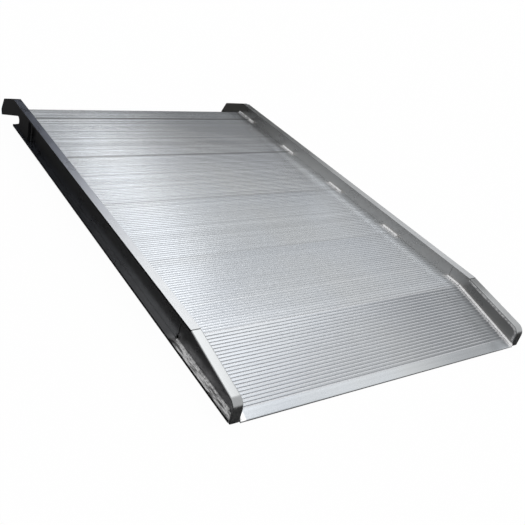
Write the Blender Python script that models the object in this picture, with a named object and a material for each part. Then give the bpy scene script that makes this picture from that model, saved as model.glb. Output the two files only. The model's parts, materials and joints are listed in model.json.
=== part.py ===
"""Aluminium loading ramp: ribbed planks welded between two channel rails, with dock hooks and a bevelled toe.

Every piece is placed in the ramp's own level directions: X across, Y along the deck with 0 at the
hook end and the toe towards -Y, and Z up with 0 on top of the ribs. All of them hang on one empty,
which lays the ramp on the floor, on its toe lip and its two hook tips.
"""

import math

import bmesh
import bpy
from mathutils import Matrix

# Deck
CLEAR_WIDTH = 0.9144
TOP_STRIP_LENGTH = 0.0762
PLANK_LENGTH = 0.3048
PLANK_COUNT = 4
SKIN = 0.0045
RIB_HEIGHT = 0.0018
RIB_PITCH = 0.009525
RIB_FLANK = 0.0007
GROOVE_FLOOR = 0.0032

# Stiffening legs under each plank, the ledge that carries the next plank, and the apron of the top strip,
# which ends above the notches of the hooks
LEG_PITCH = 0.1016
LEG_DEPTH = 0.032
LEG_THICKNESS = 0.004
LEG_FOOT_WIDTH = 0.018
LEG_FOOT_THICKNESS = 0.004
LEDGE_REACH = 0.008
LEDGE_ROOT = 0.006
LEDGE_THICKNESS = 0.003
APRON_DEPTH = 0.014

# Side rails
RAIL_HEIGHT = 0.0921
CURB_HEIGHT = 0.0395
WEB = 0.00635
FLANGE_WIDTH = 0.0254
FLANGE = 0.00635
TOP_FLANGE_SETBACK = 0.014
BOTTOM_FLANGE_SETBACK = 0.021

# Bevelled toe
TOE_RUN = 0.2381
TOE_LIP_THICKNESS = 0.005
TOE_LIP_LENGTH = 0.029
TOE_LEG_PLACES = (0.055, 0.125)
TOE_LEG_CLEARANCE = 0.008
SEAM_BEFORE_KNEE = 0.0454
RELIEF_RADIUS = 0.0065
KINK_BEYOND_KNEE = 0.0258
TOE_CAP_THICKNESS = 0.00635
TOE_CAP_HEIGHT = 0.0575
TOE_CAP_RADIUS = 0.0254
LIP_BEYOND_CAP = 0.0032

# Dock hooks, cut for the slope that the ramp has in use
HOOK_SLOPE = math.radians(21.5)
FINGER_RUN_IN = 0.0068
HOOK_REACH = 0.149
FINGER_DEPTH = 0.0565
NOSE_START = 0.108
NOSE_FRONT = 0.0204
NOSE_RADIUS = 0.012
TIP_RADIUS = 0.004
NOTCH_GAP = 0.025
NOTCH_DEPTH = 0.054
NOTCH_RADIUS = 0.012
HOOK_PLATE = 0.0127
HOOK_PLATE_LENGTH = 0.160
HOOK_PLATE_CORNER = 0.004

# Welds
DECK_WELD_LEG = 0.008
FIRST_WELD_LENGTH = 0.109
WELD_BEFORE_SEAM = 0.050
WELD_AFTER_SEAM = 0.020
UNDERSIDE_WELD_LEG = 0.006
UNDERSIDE_WELD_LENGTH = 0.060
HOOK_WELD_LEG = 0.006
TOE_FLANGE_WELD_LEG = 0.008
TOE_FLANGE_WELD_END = 0.027
SEAM_WELD_WIDTH = 0.007
SEAM_WELD_RISE = 0.0012
CAP_WELD_WIDTH = 0.006
CAP_WELD_RISE = 0.0015

# Gap left between pieces that touch, and the angle of one step on a rounded corner
TOUCH = 0.0003
ARC_STEP = math.radians(15)

# Places worked out from the sizes above
RAIL_INNER = CLEAR_WIDTH / 2
WEB_OUTER = RAIL_INNER + WEB
RAIL_BOTTOM = CURB_HEIGHT - RAIL_HEIGHT
UNDER_TOP_FLANGE = CURB_HEIGHT - FLANGE
BOTTOM_FLANGE_TOP = RAIL_BOTTOM + FLANGE
DECK_UNDERSIDE = -RIB_HEIGHT - SKIN
FINGER_START = FINGER_RUN_IN - TOP_FLANGE_SETBACK
KNEE = -TOP_STRIP_LENGTH - PLANK_COUNT * PLANK_LENGTH
TOE_TIP = KNEE - TOE_RUN
TOE_TIP_TOP = RAIL_BOTTOM + TOE_LIP_THICKNESS
TOE_SLOPE = math.atan2(-TOE_TIP_TOP, TOE_RUN)
SEAM = KNEE + SEAM_BEFORE_KNEE
KINK = KNEE - KINK_BEYOND_KNEE
CAP_FACE = TOE_TIP + LIP_BEYOND_CAP
CAP_BACK = CAP_FACE + TOE_CAP_THICKNESS
CAP_CORNER = RAIL_BOTTOM + TOE_CAP_HEIGHT
CAP_SLOPE = math.atan2(CURB_HEIGHT - CAP_CORNER, KINK - CAP_FACE)

# Turns that lay a flat outline in the ramp: seen from the side, and seen along the ramp
SIDE_VIEW = (math.pi / 2, 0, math.pi / 2)
END_VIEW = (math.pi / 2, 0, 0)

SIDES = (("left", -1), ("right", 1))

FINISHES = {
    "deck": ((0.72, 0.73, 0.74), 0.38),
    "rail": ((0.42, 0.43, 0.45), 0.42),
    "hook": ((0.20, 0.20, 0.21), 0.50),
    "toe_cap": ((0.34, 0.34, 0.36), 0.45),
    "weld": ((0.88, 0.88, 0.88), 0.35),
}


def clear_scene():
    for obj in list(bpy.data.objects):
        bpy.data.objects.remove(obj, do_unlink=True)


def new_collection(name):
    collection = bpy.data.collections.new(name)
    bpy.context.scene.collection.children.link(collection)
    return collection


def finish(name, slot):
    """A bare aluminium finish of its own for one sub-part."""
    color, roughness = FINISHES[slot]
    material = bpy.data.materials.new(name)
    material.use_nodes = True
    shader = material.node_tree.nodes["Principled BSDF"]
    shader.inputs["Base Color"].default_value = (*color, 1)
    shader.inputs["Roughness"].default_value = roughness
    shader.inputs["Metallic"].default_value = 1
    return material


def rounded(corners):
    """The outline through corners (a, b, radius), with an arc at each corner that has a radius."""
    outline = []
    for i, (a, b, radius) in enumerate(corners):
        if radius <= 0:
            outline.append((a, b))
            continue
        before = corners[i - 1]
        after = corners[(i + 1) % len(corners)]
        angle_in = math.atan2(b - before[1], a - before[0])
        angle_out = math.atan2(after[1] - b, after[0] - a)
        turn = math.remainder(angle_out - angle_in, 2 * math.pi)
        side = math.copysign(1, turn)
        reach = radius * math.tan(abs(turn) / 2)
        start_a = a - reach * math.cos(angle_in)
        start_b = b - reach * math.sin(angle_in)
        centre_a = start_a - side * radius * math.sin(angle_in)
        centre_b = start_b + side * radius * math.cos(angle_in)
        steps = max(1, math.ceil(abs(turn) / ARC_STEP))
        for step in range(steps + 1):
            heading = angle_in + turn * step / steps
            outline.append((
                centre_a + side * radius * math.sin(heading),
                centre_b - side * radius * math.cos(heading),
            ))
    return outline


def anticlockwise(outline):
    area = 0
    for (a, b), (c, d) in zip(outline, outline[1:] + outline[:1]):
        area += a * d - b * c
    return outline if area > 0 else outline[::-1]


def flat_piece(name, outline, thickness, place, turn, material, collection):
    """A flat outline given a thickness, half of it on each side of its place."""
    curve = bpy.data.curves.new(name, "CURVE")
    curve.dimensions = "2D"
    curve.fill_mode = "BOTH"
    curve.extrude = thickness / 2
    spline = curve.splines.new("POLY")
    spline.points.add(len(outline) - 1)
    for point, (a, b) in zip(spline.points, anticlockwise(outline)):
        point.co = (a, b, 0, 1)
    spline.use_cyclic_u = True
    curve.materials.append(material)
    obj = bpy.data.objects.new(name, curve)
    obj.location = place
    obj.rotation_euler = turn
    collection.objects.link(obj)
    return obj


def as_mesh(obj, collection):
    """The same piece as a closed mesh, so that others can be joined to it."""
    bpy.context.view_layer.update()
    evaluated = obj.evaluated_get(bpy.context.evaluated_depsgraph_get())
    mesh = bpy.data.meshes.new_from_object(evaluated)
    shape = bmesh.new()
    shape.from_mesh(mesh)
    bmesh.ops.remove_doubles(shape, verts=shape.verts, dist=1e-6)
    shape.to_mesh(mesh)
    shape.free()
    name = obj.name
    place = obj.matrix_world.copy()
    bpy.data.objects.remove(obj)
    made = bpy.data.objects.new(name, mesh)
    made.matrix_world = place
    collection.objects.link(made)
    return made


def helper_box(name, low, high, helpers):
    """A box from its lowest to its highest corner, kept out of the render, to be joined to a piece."""
    size = [top - bottom for bottom, top in zip(low, high)]
    middle = [(top + bottom) / 2 for bottom, top in zip(low, high)]
    shape = bmesh.new()
    bmesh.ops.create_cube(shape, size=1, matrix=Matrix.Diagonal((*size, 1)))
    mesh = bpy.data.meshes.new(name)
    shape.to_mesh(mesh)
    shape.free()
    box = bpy.data.objects.new(name, mesh)
    box.location = middle
    box.hide_render = True
    box.display_type = "WIRE"
    helpers.objects.link(box)
    return box


def join(obj, other):
    modifier = obj.modifiers.new(f"join {other.name}", "BOOLEAN")
    modifier.operation = "UNION"
    modifier.solver = "EXACT"
    modifier.object = other


def span(low, high):
    """The middle and the length of a stretch."""
    return (low + high) / 2, high - low


def from_dock(level, height):
    """A point of the side view, from distances level with and square to the dock that the hooks lie on."""
    cosine = math.cos(HOOK_SLOPE)
    sine = math.sin(HOOK_SLOPE)
    return level * cosine + height * sine, height * cosine - level * sine


def dock_height(along, up):
    """Height square to the dock of a point of the side view."""
    return along * math.sin(HOOK_SLOPE) + up * math.cos(HOOK_SLOPE)


def finger_corners():
    """The hook from the top of the rail, round its nose, to the floor of its notch, in the side view."""
    top = dock_height(FINGER_START, CURB_HEIGHT)
    under = top - FINGER_DEPTH
    floor = under - NOTCH_GAP
    return [
        (FINGER_START, CURB_HEIGHT, 0),
        (*from_dock(NOSE_START, top), NOSE_RADIUS),
        (*from_dock(HOOK_REACH, under + NOSE_FRONT), NOSE_RADIUS),
        (*from_dock(HOOK_REACH, under), TIP_RADIUS),
        (*from_dock(-NOTCH_DEPTH, under), NOTCH_RADIUS),
        (*from_dock(-NOTCH_DEPTH, floor), NOTCH_RADIUS),
    ]


def relief_arc():
    """The round cut-out at the foot of the web seam, from its lower to its upper end on the seam."""
    middle = BOTTOM_FLANGE_TOP + RELIEF_RADIUS
    steps = math.ceil(math.pi / ARC_STEP)
    arc = []
    for step in range(steps + 1):
        angle = math.pi * step / steps - math.pi / 2
        arc.append((SEAM + RELIEF_RADIUS * math.cos(angle), middle + RELIEF_RADIUS * math.sin(angle)))
    return arc


def web_outline():
    corners = [
        (SEAM, RAIL_BOTTOM, 0),
        *((along, up, 0) for along, up in relief_arc()),
        (SEAM, CURB_HEIGHT, 0),
        *finger_corners(),
        (-BOTTOM_FLANGE_SETBACK, BOTTOM_FLANGE_TOP, 0),
        (-BOTTOM_FLANGE_SETBACK, RAIL_BOTTOM, 0),
    ]
    return rounded(corners)


def make_rail(label, side, parts, helpers):
    """The channel: web and hook finger in one plate, with a flange along its top and its bottom."""
    name = f"rail_{label}"
    middle, thickness = span(RAIL_INNER, WEB_OUTER)
    web = flat_piece(
        name, web_outline(), thickness, (side * middle, 0, 0), SIDE_VIEW, finish(name, "rail"), parts
    )
    rail = as_mesh(web, parts)
    across = sorted((side * RAIL_INNER, side * (RAIL_INNER + FLANGE_WIDTH)))
    top = helper_box(
        f"{name}_top_flange",
        (across[0], KINK, UNDER_TOP_FLANGE),
        (across[1], -TOP_FLANGE_SETBACK, CURB_HEIGHT),
        helpers,
    )
    bottom = helper_box(
        f"{name}_bottom_flange",
        (across[0], CAP_BACK + TOUCH, RAIL_BOTTOM),
        (across[1], -BOTTOM_FLANGE_SETBACK, BOTTOM_FLANGE_TOP),
        helpers,
    )
    join(rail, top)
    join(rail, bottom)


def make_hook_plate(label, side, parts):
    """The thick plate that lies in the end of the channel and doubles the hook finger."""
    name = f"hook_plate_{label}"
    rear = -HOOK_PLATE_LENGTH
    low = BOTTOM_FLANGE_TOP + TOUCH
    high = UNDER_TOP_FLANGE - TOUCH
    shoulder = -TOP_FLANGE_SETBACK + TOUCH
    fingers = finger_corners()
    floor_along, floor_up, _ = fingers[-1]
    lip_share = (floor_up - low) / (floor_up - BOTTOM_FLANGE_TOP)
    lip = floor_along + lip_share * (-BOTTOM_FLANGE_SETBACK - floor_along)
    corners = [
        (rear, low, HOOK_PLATE_CORNER),
        (rear, high, HOOK_PLATE_CORNER),
        (shoulder, high, 0),
        (shoulder, CURB_HEIGHT, 0),
        *fingers,
        (lip, low, 0),
    ]
    inner = WEB_OUTER + TOUCH
    middle, thickness = span(inner, inner + HOOK_PLATE)
    flat_piece(
        name, rounded(corners), thickness, (side * middle, 0, 0), SIDE_VIEW, finish(name, "hook"), parts
    )


def cap_under(along, clearance=0.0):
    """Height of the underside of the sloping toe cap, less a clearance square to it."""
    top = CURB_HEIGHT - (KINK - along) * math.tan(CAP_SLOPE)
    return top - (TOE_CAP_THICKNESS + clearance) / math.cos(CAP_SLOPE)


def make_toe_cap(label, side, parts):
    """The flat bar that slopes down over the toe, turns a round corner and closes the rail's end."""
    name = f"toe_cap_{label}"
    start = KINK - TOUCH
    inner_radius = TOE_CAP_RADIUS - TOE_CAP_THICKNESS
    corners = [
        (start, CURB_HEIGHT - TOUCH * math.tan(CAP_SLOPE), 0),
        (CAP_FACE, CAP_CORNER, TOE_CAP_RADIUS),
        (CAP_FACE, RAIL_BOTTOM, 0),
        (CAP_BACK, RAIL_BOTTOM, 0),
        (CAP_BACK, cap_under(CAP_BACK), inner_radius),
        (start, cap_under(start), 0),
    ]
    middle, thickness = span(RAIL_INNER, RAIL_INNER + FLANGE_WIDTH)
    flat_piece(
        name, rounded(corners), thickness, (side * middle, 0, 0), SIDE_VIEW, finish(name, "toe_cap"), parts
    )


def make_toe_side_plate(label, side, parts):
    """The plate that carries the web on from the seam, under the sloping cap, to the toe."""
    name = f"toe_side_plate_{label}"
    start = SEAM - TOUCH
    end = CAP_BACK + TOUCH
    low = BOTTOM_FLANGE_TOP + TOUCH
    corners = [
        (start, low, 0),
        (start, UNDER_TOP_FLANGE - TOUCH, 0),
        (KINK, cap_under(KINK, TOUCH), 0),
        (end, cap_under(end, TOUCH), TOE_CAP_RADIUS - TOE_CAP_THICKNESS),
        (end, low, 0),
    ]
    middle, thickness = span(RAIL_INNER, WEB_OUTER)
    flat_piece(
        name, rounded(corners), thickness, (side * middle, 0, 0), SIDE_VIEW, finish(name, "rail"), parts
    )


def ribs(length):
    """The ribbed top of a plank of this length: distance from its hook end, and height under the rib tops."""
    count = math.floor(length / RIB_PITCH + 1e-6)
    margin = (length - count * RIB_PITCH) / 2
    half_groove = GROOVE_FLOOR / 2
    points = [(0, -RIB_HEIGHT)]
    for i in range(count):
        start = margin + i * RIB_PITCH
        points.append((start + half_groove, -RIB_HEIGHT))
        points.append((start + half_groove + RIB_FLANK, 0))
        points.append((start + RIB_PITCH - half_groove - RIB_FLANK, 0))
        points.append((start + RIB_PITCH - half_groove, -RIB_HEIGHT))
    points.append((length, -RIB_HEIGHT))
    return points


def leg_places():
    """Where the stiffening legs stand under a full plank, from its hook end."""
    count = max(1, math.floor(PLANK_LENGTH / LEG_PITCH + 1e-6))
    return [PLANK_LENGTH * (i + 0.5) / count for i in range(count)]


def leg(place):
    """An upside-down T under the skin, from its toe side to its hook side."""
    foot = DECK_UNDERSIDE - LEG_DEPTH
    foot_top = foot + LEG_FOOT_THICKNESS
    half = LEG_THICKNESS / 2
    half_foot = LEG_FOOT_WIDTH / 2
    return [
        (place + half, DECK_UNDERSIDE),
        (place + half, foot_top),
        (place + half_foot, foot_top),
        (place + half_foot, foot),
        (place - half_foot, foot),
        (place - half_foot, foot_top),
        (place - half, foot_top),
        (place - half, DECK_UNDERSIDE),
    ]


def plank_section(length, legs, has_ledge, has_apron):
    """A plank seen from the side: distance from its hook end, and height."""
    end = length - TOUCH
    points = [(min(place, end), up) for place, up in ribs(length)]
    if has_ledge:
        ledge_top = DECK_UNDERSIDE - TOUCH
        ledge_end = end + LEDGE_REACH
        points.append((end, ledge_top))
        points.append((ledge_end, ledge_top))
        points.append((ledge_end, ledge_top - LEDGE_THICKNESS))
        points.append((end - LEDGE_ROOT, ledge_top - LEDGE_THICKNESS))
        points.append((end - LEDGE_ROOT, DECK_UNDERSIDE))
    else:
        points.append((end, DECK_UNDERSIDE))
    for place in reversed(legs):
        points.extend(leg(place))
    if has_apron:
        points.append((LEG_THICKNESS, DECK_UNDERSIDE))
        points.append((LEG_THICKNESS, DECK_UNDERSIDE - APRON_DEPTH))
        points.append((0, DECK_UNDERSIDE - APRON_DEPTH))
    else:
        points.append((0, DECK_UNDERSIDE))
    return points


def deck_piece(name, outline, parts):
    flat_piece(
        name, outline, CLEAR_WIDTH - 2 * TOUCH, (0, 0, 0), SIDE_VIEW, finish(name, "deck"), parts
    )


def plank_starts():
    """The hook end of each full plank."""
    return [-TOP_STRIP_LENGTH - i * PLANK_LENGTH for i in range(PLANK_COUNT)]


def make_deck(parts):
    strip = plank_section(TOP_STRIP_LENGTH, [], True, True)
    deck_piece("deck_top_strip", [(-place, up) for place, up in strip], parts)
    for i, start in enumerate(plank_starts()):
        last = i == PLANK_COUNT - 1
        section = plank_section(PLANK_LENGTH, leg_places(), not last, False)
        deck_piece(f"deck_plank_{i + 1}", [(start - place, up) for place, up in section], parts)
    deck_piece("toe_plank", toe_section(), parts)


def down_toe(place, up):
    """A point of the side view, from a distance down the toe's slope and a height square to it."""
    cosine = math.cos(TOE_SLOPE)
    sine = math.sin(TOE_SLOPE)
    return KNEE - place * cosine - up * sine, up * cosine - place * sine


def toe_leg(place):
    """A plain leg square to the toe plank, stopping short of the floor."""
    half = LEG_THICKNESS / 2
    floor = RAIL_BOTTOM + TOE_LEG_CLEARANCE
    depth = (floor + place * math.sin(TOE_SLOPE)) / math.cos(TOE_SLOPE)
    depth = min(depth, DECK_UNDERSIDE - LEG_THICKNESS)
    return [
        down_toe(place + half, DECK_UNDERSIDE),
        down_toe(place + half, depth),
        down_toe(place - half, depth),
        down_toe(place - half, DECK_UNDERSIDE),
    ]


def toe_section():
    """The ribbed toe plank with its plain lip, cut off level underneath so that it lies flat."""
    slope_length = TOE_RUN / math.cos(TOE_SLOPE)
    start = KNEE - TOUCH
    ribbed = ribs(slope_length - TOE_LIP_LENGTH)
    points = [down_toe(place, up) for place, up in ribbed]
    points[0] = (start, -RIB_HEIGHT)
    points.append(down_toe(ribbed[-1][0] + RIB_FLANK, 0))
    points.append((TOE_TIP, TOE_TIP_TOP))
    points.append((TOE_TIP, RAIL_BOTTOM))
    knee_underside = DECK_UNDERSIDE / math.cos(TOE_SLOPE)
    points.append((KNEE - (knee_underside - RAIL_BOTTOM) / math.tan(TOE_SLOPE), RAIL_BOTTOM))
    for place in reversed(TOE_LEG_PLACES):
        points.extend(toe_leg(place))
    points.append((start, knee_underside - TOUCH * math.tan(TOE_SLOPE)))
    return points


def bead(leg, across, up):
    """A quarter-round bead in a corner, opening across and up as the signs say."""
    points = [(0, 0)]
    steps = math.ceil(math.pi / 2 / ARC_STEP)
    for step in range(steps + 1):
        angle = math.pi / 2 * step / steps
        points.append((across * leg * math.cos(angle), up * leg * math.sin(angle)))
    return points


def weld(name, section, length, place, turn, parts):
    flat_piece(name, section, length, place, turn, finish(name, "weld"), parts)


def deck_weld_stretches():
    """Hook end and toe end of each weld on top of the deck: one at the hook end, then one at each seam."""
    stretches = [(0, -FIRST_WELD_LENGTH)]
    for seam in plank_starts()[1:]:
        stretches.append((seam + WELD_BEFORE_SEAM, seam - WELD_AFTER_SEAM))
    stretches.append((KNEE + WELD_BEFORE_SEAM, KNEE))
    return stretches


def make_deck_welds(label, side, parts):
    corner = side * (RAIL_INNER - TOUCH)
    section = bead(DECK_WELD_LEG, -side, 1)
    for i, (hook_end, toe_end) in enumerate(deck_weld_stretches()):
        middle, length = span(toe_end, hook_end)
        weld(
            f"deck_weld_{label}_{i + 1}", section, length, (corner, middle, TOUCH), END_VIEW, parts
        )


def make_toe_bead(label, side, parts):
    """The long weld between the toe plank and the side plate, down the slope to the cap."""
    start = TOUCH + DECK_WELD_LEG * math.tan(TOE_SLOPE)
    end = (KNEE - CAP_FACE) / math.cos(TOE_SLOPE)
    middle, length = span(start, end)
    along, up = down_toe(middle, TOUCH)
    turn = (math.pi / 2 + TOE_SLOPE, 0, 0)
    corner = side * (RAIL_INNER - TOUCH)
    weld(
        f"toe_bead_{label}", bead(DECK_WELD_LEG, -side, 1), length, (corner, along, up), turn, parts
    )


def make_underside_welds(label, side, parts):
    """One weld under each full plank, between two of its legs."""
    corner = side * (RAIL_INNER - TOUCH)
    section = bead(UNDERSIDE_WELD_LEG, -side, -1)
    legs = leg_places()
    bay = (legs[0] + legs[1]) / 2 if len(legs) > 1 else legs[0] / 2
    for i, start in enumerate(plank_starts()):
        weld(
            f"underside_weld_{label}_{i + 1}",
            section,
            UNDERSIDE_WELD_LENGTH,
            (corner, start - bay, DECK_UNDERSIDE - TOUCH),
            END_VIEW,
            parts,
        )


def make_hook_weld(label, side, parts):
    """The upright weld along the rear edge of the hook plate."""
    low = BOTTOM_FLANGE_TOP + TOUCH
    high = UNDER_TOP_FLANGE - TOUCH
    middle, length = span(low, high)
    place = (side * (WEB_OUTER + TOUCH), -HOOK_PLATE_LENGTH - TOUCH, middle)
    weld(f"hook_weld_{label}", bead(HOOK_WELD_LEG, side, -1), length, place, (0, 0, 0), parts)


def make_seam_weld(label, side, parts):
    """The low upright weld over the seam between the rail's web and the toe side plate."""
    low = BOTTOM_FLANGE_TOP + 2 * RELIEF_RADIUS
    high = UNDER_TOP_FLANGE - TOUCH
    middle, length = span(low, high)
    half = SEAM_WELD_WIDTH / 2
    section = [
        (0, -half),
        (side * SEAM_WELD_RISE, -half / 2),
        (side * SEAM_WELD_RISE, half / 2),
        (0, half),
    ]
    place = (side * (WEB_OUTER + TOUCH), SEAM, middle)
    weld(f"web_seam_weld_{label}", section, length, place, (0, 0, 0), parts)


def make_toe_flange_weld(label, side, parts):
    """The long weld outside, between the toe side plate and the bottom flange."""
    hook_end = SEAM - TOUCH
    toe_end = CAP_BACK + TOE_FLANGE_WELD_END
    middle, length = span(toe_end, hook_end)
    place = (side * (WEB_OUTER + TOUCH), middle, BOTTOM_FLANGE_TOP + TOUCH)
    weld(
        f"toe_flange_weld_{label}", bead(TOE_FLANGE_WELD_LEG, side, 1), length, place, END_VIEW, parts
    )


def make_cap_weld(label, side, parts):
    """The low weld inside, along the joint of the cap and the side plate and round its corner."""
    half = CAP_WELD_WIDTH / 2
    start = KINK - TOUCH
    foot_drop = (KNEE - CAP_BACK - half) * math.tan(TOE_SLOPE)
    foot = -foot_drop + (DECK_WELD_LEG + 2 * TOUCH) / math.cos(TOE_SLOPE)
    joint_radius = TOE_CAP_RADIUS - TOE_CAP_THICKNESS
    corners = [
        (start, cap_under(start, -half), 0),
        (CAP_BACK - half, cap_under(CAP_BACK - half, -half), joint_radius + half),
        (CAP_BACK - half, foot, 0),
        (CAP_BACK + half, foot, 0),
        (CAP_BACK + half, cap_under(CAP_BACK + half, half), joint_radius - half),
        (start, cap_under(start, half), 0),
    ]
    inner = RAIL_INNER - TOUCH
    middle, thickness = span(inner - CAP_WELD_RISE, inner)
    weld(
        f"toe_cap_weld_{label}", rounded(corners), thickness, (side * middle, 0, 0), SIDE_VIEW, parts
    )


def resting_place():
    """The tilt, and the place in Y and Z, that lay the toe lip and the hook tips on the floor at Z 0."""
    hook = rounded(finger_corners())
    toe = toe_section()
    tilt = max(math.atan2(RAIL_BOTTOM - up, along - TOE_TIP) for along, up in hook)
    cosine = math.cos(tilt)
    sine = math.sin(tilt)
    along = [y * cosine - z * sine for y, z in hook + toe]
    lowest = min(y * sine + z * cosine for y, z in hook + toe)
    return tilt, -(max(along) + min(along)) / 2, -lowest


def main():
    clear_scene()
    parts = new_collection("loading_ramp")
    helpers = new_collection("helpers")
    make_deck(parts)
    for label, side in SIDES:
        make_rail(label, side, parts, helpers)
        make_hook_plate(label, side, parts)
        make_toe_side_plate(label, side, parts)
        make_toe_cap(label, side, parts)
        make_deck_welds(label, side, parts)
        make_toe_bead(label, side, parts)
        make_underside_welds(label, side, parts)
        make_hook_weld(label, side, parts)
        make_seam_weld(label, side, parts)
        make_toe_flange_weld(label, side, parts)
        make_cap_weld(label, side, parts)
    rest = bpy.data.objects.new("ramp_at_rest", None)
    tilt, along, up = resting_place()
    rest.location = (0, along, up)
    rest.rotation_euler = (tilt, 0, 0)
    parts.objects.link(rest)
    for obj in [*parts.objects, *helpers.objects]:
        if obj is not rest:
            obj.parent = rest


main()
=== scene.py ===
"""Looks of a welded aluminium loading ramp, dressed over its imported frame.

The file is laid out as an add-on: one operator dresses each group of pieces, and one sets the studio.
Ramp axes are the frame's axes turned by the small tilt at which the ramp rests, so that the deck is
level in them: X across, Y towards the hooks, Z up.
"""

import json
import math

import bpy
from bpy.props import FloatProperty, FloatVectorProperty, PointerProperty
from mathutils import Matrix, Quaternion, Vector

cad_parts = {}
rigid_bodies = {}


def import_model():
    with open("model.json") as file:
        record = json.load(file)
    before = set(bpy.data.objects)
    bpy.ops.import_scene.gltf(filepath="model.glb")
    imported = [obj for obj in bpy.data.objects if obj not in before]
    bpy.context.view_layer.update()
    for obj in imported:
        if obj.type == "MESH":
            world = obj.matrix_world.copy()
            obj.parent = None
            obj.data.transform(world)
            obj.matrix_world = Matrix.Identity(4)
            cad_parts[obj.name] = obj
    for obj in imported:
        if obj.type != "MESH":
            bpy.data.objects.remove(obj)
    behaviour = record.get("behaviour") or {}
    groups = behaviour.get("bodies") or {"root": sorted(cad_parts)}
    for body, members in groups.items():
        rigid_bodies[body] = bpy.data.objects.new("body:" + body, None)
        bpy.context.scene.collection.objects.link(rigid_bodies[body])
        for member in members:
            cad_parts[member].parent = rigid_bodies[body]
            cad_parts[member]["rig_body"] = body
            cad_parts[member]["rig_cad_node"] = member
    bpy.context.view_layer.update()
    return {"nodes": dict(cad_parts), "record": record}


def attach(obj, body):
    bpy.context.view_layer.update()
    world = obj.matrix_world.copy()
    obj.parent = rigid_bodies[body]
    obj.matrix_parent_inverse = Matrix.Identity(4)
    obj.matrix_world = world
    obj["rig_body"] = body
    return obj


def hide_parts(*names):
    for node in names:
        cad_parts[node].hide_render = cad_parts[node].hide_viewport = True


bl_info = {
    "name": "Aluminium loading ramp",
    "version": (1, 0, 0),
    "blender": (4, 5, 0),
    "location": "View3D > Sidebar > Ramp",
    "description": "Dresses a welded aluminium loading ramp and sets a plain studio round it",
    "category": "Object",
}

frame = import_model()

SIDES = {"left": -1, "right": 1}

DECK_NORMAL = Vector(next(m["axis"] for m in frame["record"]["mounts"] if m["name"] == "deck_surface"))
TILT = math.atan2(-DECK_NORMAL.y, DECK_NORMAL.z)


def node_points(node, angle):
    """Points of a CAD node in axes turned by an angle about X."""
    turn = Matrix.Rotation(-angle, 3, "X")
    return [turn @ vertex.co for vertex in frame["nodes"][node].data.vertices]


def corners(node, angle=TILT):
    """Lowest and highest corner of a CAD node in axes turned by an angle about X."""
    points = node_points(node, angle)
    low = Vector([min(point[i] for point in points) for i in range(3)])
    high = Vector([max(point[i] for point in points) for i in range(3)])
    return low, high


def slope_of(node):
    """Angle about X of a straight CAD bar, from the middles of its two halves."""
    points = node_points(node, 0)
    middle = sum((point.y for point in points)) / len(points)
    ends = []
    for half in ([p for p in points if p.y < middle], [p for p in points if p.y >= middle]):
        ends.append(sum(half, Vector()) / len(half))
    along = ends[1] - ends[0]
    return math.atan2(along.z, along.y)


TOE_ANGLE = slope_of("toe_bead_left")
HOOK_END = corners("deck_top_strip")[1].y
SEAM = corners("toe_side_plate_left")[1].y
CURB_TOP = corners("rail_left")[1].z
RAIL_INNER = -corners("rail_left")[1].x
RAIL_OUTER = -corners("rail_left")[0].x
WEB_OUTER = -corners("toe_side_plate_left")[0].x
FLANGE_TOP = corners("toe_flange_weld_left")[0].z

# Heights this close count as level.
LEVEL = 0.0001


def cap_joint(label):
    """Where a toe cap meets the end of its rail's flange, along the ramp."""
    return corners(f"toe_cap_{label}")[1].y


class Value:
    """A socket of a material's nodes, so that its maths is written as an expression."""

    def __init__(self, finish, socket):
        self.finish = finish
        self.socket = socket

    def maths(self, operation, *values):
        return self.finish.node("ShaderNodeMath", {"operation": operation}, dict(enumerate(values)))

    def __add__(self, other):
        return self.maths("ADD", self, other)

    def __radd__(self, other):
        return self.maths("ADD", other, self)

    def __sub__(self, other):
        return self.maths("SUBTRACT", self, other)

    def __rsub__(self, other):
        return self.maths("SUBTRACT", other, self)

    def __mul__(self, other):
        return self.maths("MULTIPLY", self, other)

    def __rmul__(self, other):
        return self.maths("MULTIPLY", other, self)

    def absolute(self):
        return self.maths("ABSOLUTE", self)

    def maximum(self, other):
        return self.maths("MAXIMUM", self, other)

    def between(self, start, end):
        """0 below start, 1 above end, and a smooth step in between; the two may be given downwards."""
        settings = {"interpolation_type": "SMOOTHSTEP"}
        sockets = {"Value": self, "From Min": start, "From Max": end}
        return self.finish.node("ShaderNodeMapRange", settings, sockets)


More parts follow.
